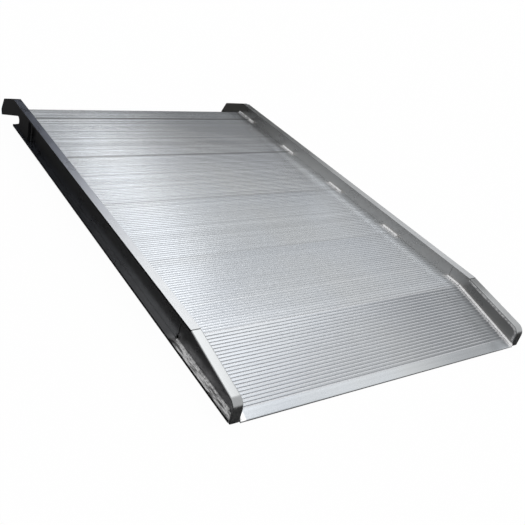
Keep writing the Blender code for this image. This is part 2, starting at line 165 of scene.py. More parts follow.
class Finish:
    """The nodes of one material, added by one method."""

    def __init__(self, name, owner=None):
        self.material = owner or bpy.data.materials.new(name)
        self.material.use_nodes = True
        self.tree = self.material.node_tree

    def node(self, kind, settings=None, sockets=None, output=0):
        """Adds a node: its settings first, then the values or links of its sockets."""
        made = self.tree.nodes.new(kind)
        for name, setting in (settings or {}).items():
            setattr(made, name, setting)
        for name, value in (sockets or {}).items():
            if isinstance(value, Value):
                self.tree.links.new(value.socket, made.inputs[name])
            else:
                made.inputs[name].default_value = value
        return Value(self, made.outputs[output])

    def mix(self, share, first, second):
        """A colour between two others."""
        return self.node("ShaderNodeMix", {"data_type": "RGBA"}, {0: share, 6: first, 7: second}, output=2)

    def multiply(self, first, second):
        """Two colours multiplied."""
        settings = {"data_type": "RGBA", "blend_type": "MULTIPLY"}
        return self.node("ShaderNodeMix", settings, {0: 1.0, 6: first, 7: second}, output=2)

    def noise(self, place, stretch, detail=3.0, distortion=0.0):
        """Noise from 0 to 1, with its own number of repeats along each axis."""
        spread = self.node("ShaderNodeMapping", None, {"Vector": place, "Scale": stretch})
        sockets = {
            "Vector": spread,
            "Scale": 1.0,
            "Detail": detail,
            "Roughness": 0.55,
            "Distortion": distortion,
        }
        return self.node("ShaderNodeTexNoise", None, sockets)

    def lines(self, along, repeats, detail=2.0):
        """Noise from 0 to 1 along one coordinate, which draws straight lines."""
        sockets = {"W": along, "Scale": repeats, "Detail": detail, "Roughness": 0.6}
        return self.node("ShaderNodeTexNoise", {"noise_dimensions": "1D"}, sockets)

    def gray(self, tone):
        """A grey of the given tone."""
        return self.node("ShaderNodeCombineColor", None, {0: tone, 1: tone, 2: tone})

    def place(self, angle=TILT, origin=(0, 0, 0)):
        """Object coordinates in axes turned by an angle about X, counted from an origin in those axes."""
        coordinates = self.node("ShaderNodeTexCoord", output=3)
        sockets = {
            "Vector": coordinates,
            "Location": [-value for value in origin],
            "Rotation": (-angle, 0, 0),
        }
        return self.node("ShaderNodeMapping", None, sockets)

    def axes(self, place):
        """The three coordinates of a place."""
        split = self.node("ShaderNodeSeparateXYZ", None, {0: place})
        outputs = split.socket.node.outputs
        return [Value(self, outputs[i]) for i in range(3)]

    def background_rays(self):
        """1 for the rays that show the background: straight ones, and those by way of metal or glass."""
        path = self.node("ShaderNodeLightPath")
        outputs = path.socket.node.outputs
        kinds = [Value(self, outputs[name]) for name in ("Is Glossy Ray", "Is Transmission Ray")]
        return path.maximum(kinds[0]).maximum(kinds[1])

    def bump(self, height, distance, strength=1.0, normal=None):
        """A normal bent by a height, over another normal if one is given."""
        sockets = {"Height": height, "Distance": distance, "Strength": strength}
        if normal is not None:
            sockets["Normal"] = normal
        return self.node("ShaderNodeBump", None, sockets)

    def metal(self, color, roughness, normal=None, metallic=1.0):
        """Bare metal: sets the surface's sockets and gives the material."""
        shader = self.tree.nodes["Principled BSDF"]
        values = {"Base Color": color, "Roughness": roughness, "Metallic": metallic}
        if normal is not None:
            values["Normal"] = normal
        for name, value in values.items():
            if isinstance(value, Value):
                self.tree.links.new(value.socket, shader.inputs[name])
            else:
                shader.inputs[name].default_value = value
        return self.material


def opaque(color, share=1.0):
    return (*(channel * share for channel in color), 1.0)


def tread_steps(node, angle):
    """Where the level tops of a plank's ribs begin and end along the ramp, in axes turned by an angle."""
    points = node_points(node, angle)
    top = max(point.z for point in points)
    return sorted({round(point.y, 5) for point in points if point.z > top - LEVEL})


class PlankLook:
    """What sets one plank apart: its shade, how its ribs vary, the dirt in its seams, how far its frost
    reaches from its end, and how far painted shade darkens its ribs and painted light lifts its grooves on
    the left."""

    def __init__(
        self, shade, streaks, hook_dirt, toe_dirt, frost_from_hook=0.022, rib_painted_shade=0.22, groove_painted_light=0.5
    ):
        self.shade = shade
        self.streaks = streaks
        self.hook_dirt = hook_dirt
        self.toe_dirt = toe_dirt
        self.frost_from_hook = frost_from_hook
        self.rib_painted_shade = rib_painted_shade
        self.groove_painted_light = groove_painted_light
        # Each plank reads the noise of its rib tones at another place.
        self.offset = 10 * shade + streaks


PLANK_LOOKS = {
    "deck_top_strip": PlankLook(0.97, 0.40, 0.0, 0.65, 0.09),
    "deck_plank_1": PlankLook(0.99, 0.40, 0.65, 0.5, 0.034),
    "deck_plank_2": PlankLook(1.0, 0.26, 0.5, 0.25),
    "deck_plank_3": PlankLook(1.01, 0.18, 0.25, 0.08),
    "deck_plank_4": PlankLook(1.0, 0.10, 0.08, 0.0),
    # On the toe a negative groove value paints shade into the grooves on the left.
    "toe_plank": PlankLook(0.90, 0.06, 0.0, 0.0, rib_painted_shade=0.0, groove_painted_light=-0.1),
}

# Where the masks of the deck begin and where they are full, in metres: across the ramp,
# Painted light: a strip beside the right rail, painted paler and made rougher.
DULL_LIT_STRIP = (RAIL_INNER - 0.082, RAIL_INNER - 0.030)
FROST_STRIP = (RAIL_INNER - 0.018, RAIL_INNER - 0.010)
# Where painted shade on the ribs and painted light in the grooves lie, on the left towards the toe:
PAINTED_LEFT_SIDE = (-0.12, -0.40)
# The painted reflection at the hook end: brighter on the left, darker on the right.
SHADED_SIDE = (-0.52, 0.22)
# Painted shade on the toe towards its right.
SHADED_TOE_SIDE = (-0.02, 0.30)
# from the upper end of the deck towards the toe,
SHADED_END = (0.58, 0.12)
PAINTED_LEFT_LENGTH = (0.3, 0.9)
DULL_LENGTH = (0.3, 0.8)
# from either end of a plank, and down from the tops of its ribs.
SEAM_DIRT = (0.0046, 0.0012)
FROST_AT_TOE_END = (0.064, 0.048)
GROOVES = (-0.0005, -0.0015)
FROST_FADE = 0.012
FROST_RAGGEDNESS = 0.010
LIP_FADE = 0.0005

# Patterns of the deck: repeats in a metre across, along and up.
SMEARS = (2.2, 1.6, 3.0)
BLOTCHES = (30, 44, 44)
SCUFFS = (240, 5, 60)
DIE_LINES = 900
RIB_TONES = 72
# Where the noise of a pattern becomes a mark, and where the mark is full.
RIB_TONE_EDGES = (0.36, 0.64)
SCUFF_EDGES = (0.66, 0.76)
WARM_EDGES = (0.35, 0.7)

# How much each mark changes the deck's tone, and how much it adds to its roughness. The strip's tone is
# painted light, and the toe's and the lip's left are painted shade.
DECK_TONES = {"smears": 0.12, "strip": 0.6, "toe": 0.36, "lip": 0.45, "lip painted shade": 0.32}
DECK_DULLNESS = {
    "blotches": 0.03, "grooves": 0.12, "frost": 0.15, "smears": 0.06, "scuffs": 0.04, "strip": 0.20,
}
TOE_DULLNESS = 0.10
# Painted light: how much brighter the deck's left is painted at the hook end, and how far it falls to the
# right.
LEFT_GAIN = 0.62
FALL_TO_RIGHT = 1.06
FROST_SHARE = 0.85


def plank_finish(node, settings, look):
    """Ribbed extrusion: straight die lines, dull grooves painted paler than the ribs as painted light, dirt
    in the seams, smears, frost by the welds, a dull strip beside the right rail painted pale as painted
    light, a painted reflection at the hook end that is brighter on the left and darker on the right, a
    brighter lip and a toe painted darker to its right as shade, and painted shade on the ribs and painted
    light in the grooves on the left towards the toe."""
    finish = Finish(f"{node}_extrusion")
    on_toe = node == "toe_plank"
    angle = TOE_ANGLE if on_toe else TILT
    steps = tread_steps(node, angle)
    toe_end, hook_end = steps[0], steps[-1]
    place = finish.place(angle, (0, hook_end, corners(node, angle)[1].z))
    across, along, height = finish.axes(place)
    from_hook = -1 * along
    from_toe = along + (hook_end - toe_end)
    from_dock = HOOK_END - (along + hook_end)

    die_lines = finish.lines(along, DIE_LINES)
    rib_tones = finish.lines(along + look.offset, RIB_TONES, 3.0).between(*RIB_TONE_EDGES) - 0.5
    smears = finish.noise(place, SMEARS, distortion=0.3)
    blotches = finish.noise(place, BLOTCHES, detail=4.0) - 0.5
    scuffs = finish.noise(place, SCUFFS, detail=2.0).between(*SCUFF_EDGES)
    groove = height.between(*GROOVES)
    seam = from_hook.between(*SEAM_DIRT) * look.hook_dirt + from_toe.between(*SEAM_DIRT) * look.toe_dirt
    # Painted light: the strip beside the right rail is painted paler; it is also rougher.
    strip = across.between(*DULL_LIT_STRIP)
    # Painted shade on the ribs and painted light in the grooves, on the left towards the toe.
    painted_left = across.between(*PAINTED_LEFT_SIDE) * from_dock.between(*PAINTED_LEFT_LENGTH)
    frost = (across.absolute() + FROST_RAGGEDNESS * blotches).between(*FROST_STRIP)
    if not on_toe:
        by_weld = from_hook.between(look.frost_from_hook + FROST_FADE, look.frost_from_hook)
        frost = frost * by_weld.maximum(from_toe.between(*FROST_AT_TOE_END))

    if on_toe:
        lip_width = steps[1] - steps[0]
        lip = from_toe.between(lip_width + LIP_FADE, lip_width - LIP_FADE)
        # On the toe the lip is brighter, less so on the left under painted shade, and the plank is painted
        # darker to its right as shade.
        painted_light_and_shade = 1 + lip * (DECK_TONES["lip"] - DECK_TONES["lip painted shade"] * painted_left)
        painted_light_and_shade = painted_light_and_shade * (1 - DECK_TONES["toe"] * across.between(*SHADED_TOE_SIDE))
    else:
        # Painted reflection: at the hook end the deck is painted brighter on the left and darker on the
        # right.
        fall = LEFT_GAIN - FALL_TO_RIGHT * across.between(*SHADED_SIDE)
        painted_light_and_shade = 1 + settings.hook_end_painted_light * fall * from_dock.between(*SHADED_END)
    marks = 1 + look.streaks * rib_tones + DECK_TONES["smears"] * (smears - 0.5)
    tone = look.shade * painted_light_and_shade * marks * (1 + DECK_TONES["strip"] * strip) * (1 - look.rib_painted_shade * painted_left)

    warm = smears.between(*WARM_EDGES)
    bare = finish.mix(warm, opaque(settings.deck_color), opaque(settings.deck_warm))
    ribs = finish.multiply(bare, finish.gray(tone))
    # Painted light: the grooves take a colour paler than the ribs, lifted further on the left, and on the toe
    # darkened there as painted shade.
    lit_grooves = finish.multiply(opaque(settings.lit_groove_color), finish.gray(1 + look.groove_painted_light * painted_left))
    grooved = finish.mix(groove * settings.lit_groove_share, ribs, lit_grooves)
    frosted = finish.mix(frost * FROST_SHARE, grooved, opaque(settings.frost_color))
    color = finish.mix(seam, frosted, opaque(settings.dirt_color))

    dull = {
        "blotches": blotches, "grooves": groove, "frost": frost, "smears": smears - 0.5, "scuffs": scuffs,
        "strip": strip * from_dock.between(*DULL_LENGTH),
    }
    roughness = settings.deck_roughness + (TOE_DULLNESS if on_toe else 0)
    for mark, share in dull.items():
        roughness = roughness + DECK_DULLNESS[mark] * share
    return finish.metal(color, roughness, finish.bump(die_lines, settings.line_depth))


# Patterns of bars, plates and rails: repeats in a metre across, along and up.
MOTTLE = (30, 16, 30)
BAR_SMEARS = (7, 3.5, 12)
GRIME = (150, 30, 150)
RAIL_LINES = (500, 2, 500)
CAP_LINES = (500, 3, 500)
PLATE_LINES = (300, 60, 60)
GRIME_EDGES = (0.36, 0.62)

# Masks of bars and rails, in metres: from the joint, up the rail, across it and along it.
JOINT_DIRT = (0.0022, 0.0006)
JOINT_TOP = (CURB_TOP - 0.012, CURB_TOP - 0.008)
INNER_FACE = (RAIL_INNER + 0.001, RAIL_INNER + 0.003)
RIGHT_RAIL = (-0.1, 0.1)
FLANGES = (WEB_OUTER + 0.0002, WEB_OUTER + 0.0012)
CROWN = (CURB_TOP - 0.0012, CURB_TOP - 0.0004)
# Outer edges, painted dark as shade.
OUTER_EDGE = (RAIL_OUTER - 0.0003, RAIL_OUTER - 0.0001)
TOEWARDS = (HOOK_END - 0.1, SEAM)
# Where the inner web is darker: from the web seam towards the toe, and at the hook end.
DARKER_TOE_WEB = (SEAM + 0.03, SEAM - 0.10)
DARKER_HOOK_WEB = (HOOK_END - 0.45, HOOK_END - 0.04)
SOOT_LENGTH = (0.013, 0.006)
SOOT_HEIGHT = (FLANGE_TOP + 0.018, FLANGE_TOP + 0.010)
DUST_HEIGHT = (FLANGE_TOP + 0.004, FLANGE_TOP + 0.001)
DUST_INSIDE = (WEB_OUTER, WEB_OUTER + 0.003)
DUST_OUTSIDE = (RAIL_OUTER - 0.0004, RAIL_OUTER - 0.0012)
DUST_LENGTH = (SEAM + 0.04, SEAM - 0.05)
RIGHT_CAP = (0.2, 0.3)
# From the front of a toe cap, and from its joint towards the toe.
CAP_FRONT = (0.0045, 0.0010)
# Painted shadow below the right cap's joint.
CAP_SHADOW = (-0.10, -0.01)

# How strongly the marks cover the metal, the tone that they leave it, and how far they darken it.
JOINT_DIRT_SHARE = 0.3
DUST_SHARE = 0.9
DUST_ON_CAP_FRONT = 0.10
# Painted shade: the tone of the caps' fronts.
CAP_FRONT_SHADE = 0.35
# How far the painted shadow darkens the right cap.
CAP_SHADOW_DEPTH = 0.45
# Tone of the soot and of the outer edges' painted shade.
SOOT_AND_SHADE_TONE = 0.3
# How far the inner web is darker there.
DARKER_WEB_DEPTH = 0.38

JOINT_DIRT_COLOR = (0.06, 0.06, 0.06)
MOTTLE_DEPTH = 0.0001
DRAWN_LINE_DEPTH = 0.00003

# Patterns of the welds, the same all ways, where their soot begins and is full, and how deep their grain is.
WELD_GRAIN = (300, 300, 300)
WELD_SOOT = (130, 130, 130)
SOOT_EDGES = (0.44, 0.56)
WELD_GRAIN_DEPTH = 0.0006
# How many welds each side has on top of the deck and under it, counted from the hook end.
DECK_WELDS = 5
UNDERSIDE_WELDS = 4


def drawn_metal(finish, base, stretch, roughness, joint=None, dust=None):
    """Plain bar or plate: fine lines one way, mottled reflections and dull smears. The joint is a place along
    Y where dirt gathers. Dust is a mask and a colour, and lies there in patches."""
    place = finish.place()
    along, height = finish.axes(place)[1:]
    drawn = finish.noise(place, stretch)
    mottle = finish.noise(place, MOTTLE, detail=5.0, distortion=0.4)
    smears = finish.noise(place, BAR_SMEARS, detail=4.0, distortion=0.8)
    color = finish.multiply(base, finish.gray(0.78 + 0.24 * mottle + 0.20 * smears))
    if joint is not None:
        dirt = (along - joint).absolute().between(*JOINT_DIRT) * height.between(*JOINT_TOP)
        color = finish.mix(dirt * JOINT_DIRT_SHARE, color, opaque(JOINT_DIRT_COLOR))
    dullness = roughness + 0.14 * (mottle - 0.5) + 0.12 * (smears - 0.5)
    metallic = 1.0
    if dust is not None:
        share, dust_color = dust
        grime = finish.noise(place, GRIME, detail=5.0).between(*GRIME_EDGES)
        pale = finish.multiply(opaque(dust_color), finish.gray(0.25 + 1.2 * grime))
        color = finish.mix(share * DUST_SHARE, color, pale)
        dullness = dullness + 0.3 * share
        metallic = 1 - share * (0.45 + 0.5 * grime)
    relief = finish.bump(mottle, MOTTLE_DEPTH, normal=finish.bump(drawn, DRAWN_LINE_DEPTH))
    return finish.metal(color, dullness, relief, metallic)


def channel_finish(name, settings, joint):
    """Channel rail or side plate: bright flanges, with a painted reflection of the sky at the hook end on the
    left rail and painted shade there on the right; a web of two colours, its outer face painted dark as shade
    and darkest at the hook end, its inner face darker from the web seam to the toe and at the hook end; outer
    edges painted dark as shade, soot at the foot of the web seam, and a bottom flange that is dusty towards
    the toe."""
    finish = Finish(name)
    across, along, height = finish.axes(finish.place())
    out = across.absolute()
    toewards = along.between(*TOEWARDS)
    # Painted shade: the web's outer face is painted dark, darkest at the hook end.
    outside = finish.multiply(opaque(settings.shaded_web_color), finish.gray(0.35 + 0.75 * toewards))
    darker_ends = along.between(*DARKER_TOE_WEB) + along.between(*DARKER_HOOK_WEB)
    inside = finish.multiply(opaque(settings.inner_color), finish.gray(1 - DARKER_WEB_DEPTH * darker_ends))
    web = finish.mix(out.between(*INNER_FACE), inside, outside)
    # Painted reflection of the sky on the left flanges and painted shade on the right ones, at the hook end.
    sky_reflection_and_shade = finish.mix(across.between(*RIGHT_RAIL), opaque(settings.rail_sky_reflection), opaque(settings.rail_shaded))
    bright = finish.mix(toewards, sky_reflection_and_shade, opaque(settings.rail_color))
    faces = finish.mix(out.between(*FLANGES).maximum(height.between(*CROWN)), web, bright)
    soot = (along - SEAM).absolute().between(*SOOT_LENGTH) * height.between(*SOOT_HEIGHT)
    # Soot at the foot of the web seam, and outer edges painted dark as shade.
    dark = soot.maximum(out.between(*OUTER_EDGE))
    base = finish.mix(dark, faces, opaque(settings.shaded_web_color, SOOT_AND_SHADE_TONE))
    ledge = height.between(*DUST_HEIGHT) * out.between(*DUST_INSIDE) * out.between(*DUST_OUTSIDE)
    dust = (ledge * along.between(*DUST_LENGTH), settings.dust_color)
    return drawn_metal(finish, base, RAIL_LINES, settings.rail_roughness, joint, dust)


def cap_finish(name, settings, joint, front):
    """Bent flat bar: its front is painted dark as shade, with a little dust, and the right one has a painted
    shadow below its joint.
    """
    finish = Finish(name)
    across, along = finish.axes(finish.place())[:2]
    on_front = (along - front).between(*CAP_FRONT)
    # Painted shadow on the right cap below its joint.
    painted_shadow = across.between(*RIGHT_CAP) * (along - joint).between(*CAP_SHADOW)
    # Painted shade on the caps' fronts.
    base = finish.mix(on_front, opaque(settings.cap_color), opaque(settings.cap_color, CAP_FRONT_SHADE))
    base = finish.multiply(base, finish.gray(1 - CAP_SHADOW_DEPTH * painted_shadow))
    dust = (on_front * DUST_ON_CAP_FRONT, settings.dust_color)
    return drawn_metal(finish, base, CAP_LINES, settings.rail_roughness, joint, dust)


def weld_finish(name, settings, shade, soot_share, metallic):
    """Weld metal: pale crests with patches of soot, and a coarse grain."""
    finish = Finish(name)
    place = finish.place()
    grain = finish.noise(place, WELD_GRAIN)
    soot = finish.noise(place, WELD_SOOT, detail=4.0)
    patches = soot.between(*SOOT_EDGES) * soot_share
    color = finish.mix(patches, opaque(settings.weld_color, shade), opaque(settings.soot_color, shade))
    return finish.metal(color, 0.22 + 0.30 * soot, finish.bump(grain, WELD_GRAIN_DEPTH, 0.8), metallic)


def activate(piece):
    """Selects one piece alone and makes it active."""
    bpy.ops.object.select_all(action="DESELECT")
    piece.select_set(True)
    bpy.context.view_layer.objects.active = piece


def add_modifier(piece, kind, **settings):
    """Adds a modifier with its settings and applies it."""
    activate(piece)
    modifier = piece.modifiers.new(kind.lower(), kind)
    for name, value in settings.items():
        setattr(modifier, name, value)
    bpy.ops.object.modifier_apply(modifier=modifier.name)


def settle(piece, name, slot, material, *nodes):
    """Names a finished piece, gives it its material and body, and lets it stand for CAD nodes."""
    activate(piece)
    bpy.ops.object.transform_apply(location=True, rotation=True, scale=True)
    piece.name = name
    piece.data.name = name
    piece.data.materials.clear()
    piece.data.materials.append(material)
    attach(piece, "root")
    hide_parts(*nodes)


# Angles between faces, in degrees: facets of one flat face, edges that are rounded, and edges that stay hard.
FACETS = 1
SHARP_EDGES = 32
HARD_EDGES = 50
HARD_BEAD_EDGES = 60
# Points this close are one point.
SAME_POINT = 0.00001
# How far the toe plank's end edges lie from its tip, along the ramp.
TIP_REACH = 0.003


def round_ribs(piece, angle, radius):
    """Rounds the top edges of a plank's ribs, so that each rib has a crown."""
    turn = Matrix.Rotation(-angle, 3, "X")
    points = [turn @ vertex.co for vertex in piece.data.vertices]
    top = max(point.z for point in points)
    bpy.ops.object.mode_set(mode="OBJECT")
    for edge in piece.data.edges:
        first, second = (points[i] for i in edge.vertices)
        level = min(first.z, second.z) > top - LEVEL
        edge.select = level and abs(first.y - second.y) < LEVEL
    bpy.ops.object.mode_set(mode="EDIT")
    bpy.ops.mesh.bevel(offset=radius, segments=3, affect="EDGES", clamp_overlap=False)


def round_tip(piece, radius):
    """Rounds the long edges of the toe plank's outer end."""
    bpy.ops.object.mode_set(mode="OBJECT")
    points = [vertex.co for vertex in piece.data.vertices]
    tip = min(point.y for point in points) + TIP_REACH
    for edge in piece.data.edges:
        first, second = (points[i] for i in edge.vertices)
        edge.select = max(first.y, second.y) < tip and abs(first.x - second.x) > RAIL_INNER
    bpy.ops.object.mode_set(mode="EDIT")
    bpy.ops.mesh.bevel(offset=radius, segments=3, affect="EDGES", clamp_overlap=True)


def rounded_copy(node, radius, crown=None, tip=None):
    """A copy of a CAD node with its edges rounded: its facets are merged into whole faces first."""
    activate(frame["nodes"][node])
    bpy.ops.object.duplicate()
    piece = bpy.context.object
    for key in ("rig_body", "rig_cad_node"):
        del piece[key]
    bpy.ops.object.mode_set(mode="EDIT")
    bpy.ops.mesh.select_mode(type="EDGE")
    bpy.ops.mesh.select_all(action="SELECT")
    bpy.ops.mesh.remove_doubles(threshold=SAME_POINT)
    bpy.ops.mesh.dissolve_limited(angle_limit=math.radians(FACETS))
    bpy.ops.mesh.select_all(action="DESELECT")
    if crown is not None:
        round_ribs(piece, *crown)
        bpy.ops.mesh.select_all(action="DESELECT")
    if tip is not None:
        round_tip(piece, tip)
        bpy.ops.mesh.select_all(action="DESELECT")
    bpy.ops.mesh.edges_select_sharp(sharpness=math.radians(SHARP_EDGES))
    bpy.ops.mesh.bevel(offset=radius, segments=2, affect="EDGES", clamp_overlap=True)
    bpy.ops.object.mode_set(mode="OBJECT")
    bpy.ops.object.shade_smooth_by_angle(angle=math.radians(HARD_EDGES))
    add_modifier(piece, "WEIGHTED_NORMAL", keep_sharp=True)
    return piece


# A bead's points round its section, how far it narrows between two ripples and at its ends, how far its
# crest lags behind as a share of a ripple, and where the crest begins as a share of its leg.
BEAD_POINTS = 16
NARROWS = 0.86
ENDS = 0.62
CREST_LAG = 0.35
CREST = 0.3
# How many voxels, passes of smoothing and smaller swells go to the swells of a lumpy weld.
VOXELS_IN_SWELL = 16
SMOOTHINGS = 4
FINER_SWELLS = 3


def straight_bead(length, leg, rise, pitch, corner):
    """A rippled bead along Y, in the corner of X and Z or flat on X: a quarter or half of a cylinder."""
    bpy.ops.object.select_all(action="DESELECT")
    bpy.ops.mesh.primitive_cylinder_add(
        vertices=BEAD_POINTS, radius=leg, depth=length, rotation=(math.pi / 2, 0, 0)
    )
    piece = bpy.context.object
    bpy.ops.object.transform_apply(location=True, rotation=True, scale=True)
    bpy.ops.object.mode_set(mode="EDIT")
    for normal in ((1, 0, 0), (0, 0, 1)) if corner else ((0, 0, 1),):
        bpy.ops.mesh.select_all(action="SELECT")
        bpy.ops.mesh.bisect(plane_co=(0, 0, 0), plane_no=normal, use_fill=True, clear_inner=True)
    bpy.ops.object.mode_set(mode="OBJECT")
    rings = max(4, 2 * round(length / pitch))
    for edge in piece.data.edges:
        first, second = (piece.data.vertices[i].co for i in edge.vertices)
        edge.select = abs(first.y - second.y) > length / 2
    bpy.ops.object.mode_set(mode="EDIT")
    bpy.ops.mesh.select_mode(type="EDGE")
    bpy.ops.mesh.subdivide(number_cuts=rings - 1)
    bpy.ops.object.mode_set(mode="OBJECT")
    step = length / rings
    for vertex in piece.data.vertices:
        index = round((vertex.co.y + length / 2) / step)
        vertex.select = index % 2 == 1
    shape_selected(piece, "resize", value=(NARROWS, 1, NARROWS))
    for vertex in piece.data.vertices:
        index = round((vertex.co.y + length / 2) / step)
        vertex.select = index in (0, rings)
    shape_selected(piece, "resize", value=(ENDS, 1, ENDS))
    for vertex in piece.data.vertices:
        inside = abs(vertex.co.y) < length / 2 - step / 2
        vertex.select = inside and vertex.co.x > CREST * leg and vertex.co.z > CREST * leg
    shape_selected(piece, "translate", value=(0, CREST_LAG * step, 0))
    if rise != leg:
        for vertex in piece.data.vertices:
            vertex.select = True
        shape_selected(piece, "resize", value=(1, 1, rise / leg))
    return piece


def shape_selected(piece, operator, value):
    """Moves or resizes the selected points of a piece about its origin, in edit mode."""
    activate(piece)
    chosen = [vertex.select for vertex in piece.data.vertices]
    bpy.ops.object.mode_set(mode="EDIT")
    bpy.ops.mesh.select_mode(type="VERT")
    bpy.ops.object.mode_set(mode="OBJECT")
    for vertex, pick in zip(piece.data.vertices, chosen):
        vertex.select = pick
    bpy.ops.object.mode_set(mode="EDIT")
    if operator == "resize":
        bpy.ops.transform.resize(value=value, center_override=(0, 0, 0))
    else:
        bpy.ops.transform.translate(value=value)
    bpy.ops.object.mode_set(mode="OBJECT")


def lumpy_copy(node, settings):
    """A copy of a CAD weld, remeshed fine and given the swells of weld metal."""
    piece = rounded_copy(node, settings.edge_rounding)
    add_modifier(piece, "REMESH", mode="VOXEL", voxel_size=settings.swell_size / VOXELS_IN_SWELL)
    add_modifier(piece, "SMOOTH", factor=0.5, iterations=SMOOTHINGS)
    roughen(piece, settings.swell_size / FINER_SWELLS, settings.swell_height)
    bpy.ops.object.shade_smooth_by_angle(angle=math.radians(HARD_BEAD_EDGES))
    return piece


def roughen(piece, size, strength):
    """Small uneven swells over a bead, from a clouds texture."""
    texture = bpy.data.textures.new("weld_swells", "CLOUDS")
    texture.noise_scale = size
    add_modifier(
        piece, "DISPLACE", texture=texture, strength=strength, mid_level=0.5, texture_coords="GLOBAL"
    )


def lay_bead(node, piece, across, up, angle, corner, shapes, metal):
    """Turns a bead so that X lies across and Z up, puts it in its corner, and finishes it."""
    along = up.cross(across)
    turn = Matrix((across, along, up)).transposed()
    slope = Matrix.Rotation(angle, 3, "X")
    piece.matrix_world = Matrix.Translation(slope @ corner) @ (slope @ turn).to_4x4()
    activate(piece)
    bpy.ops.object.transform_apply(location=True, rotation=True, scale=True)
    roughen(piece, shapes.swell_size, shapes.swell_height)
    bpy.ops.object.shade_smooth_by_angle(angle=math.radians(HARD_BEAD_EDGES))
    settle(piece, f"{node}_bead", "weld", metal, node)


def corner_weld(node, side, up, shapes, metal, angle=TILT, outwards=False):
    """A bead in the corner between a flat piece and a side, where its CAD node lies."""
    low, high = corners(node, angle)
    facing = side if outwards else -side
    across = Vector((facing, 0, 0))
    leg = high.x - low.x
    corner = Vector((
        low.x if facing > 0 else high.x,
        (low.y + high.y) / 2,
        low.z if up > 0 else high.z,
    ))
    piece = straight_bead(high.y - low.y, leg, leg, shapes.ripple_pitch, True)
    lay_bead(node, piece, across, Vector((0, 0, up)), angle, corner, shapes, metal)


def upright_weld(node, side, shapes, metal, flat):
    """A bead that stands on the outer face of a web: in the corner of a plate's edge, or flat over a seam."""
    low, high = corners(node)
    outer = Vector((side, 0, 0))
    length = high.z - low.z
    face = low.x if side > 0 else high.x
    if flat:
        half = (high.y - low.y) / 2
        piece = straight_bead(length, half, high.x - low.x, shapes.ripple_pitch, False)
        corner = Vector((face, (low.y + high.y) / 2, (low.z + high.z) / 2))
        across = Vector((0, 1, 0))
    else:
        leg = high.x - low.x
        piece = straight_bead(length, leg, leg, shapes.ripple_pitch, True)
        corner = Vector((face, high.y, (low.z + high.z) / 2))
        across = Vector((0, -1, 0))
    lay_bead(node, piece, across, outer, TILT, corner, shapes, metal)


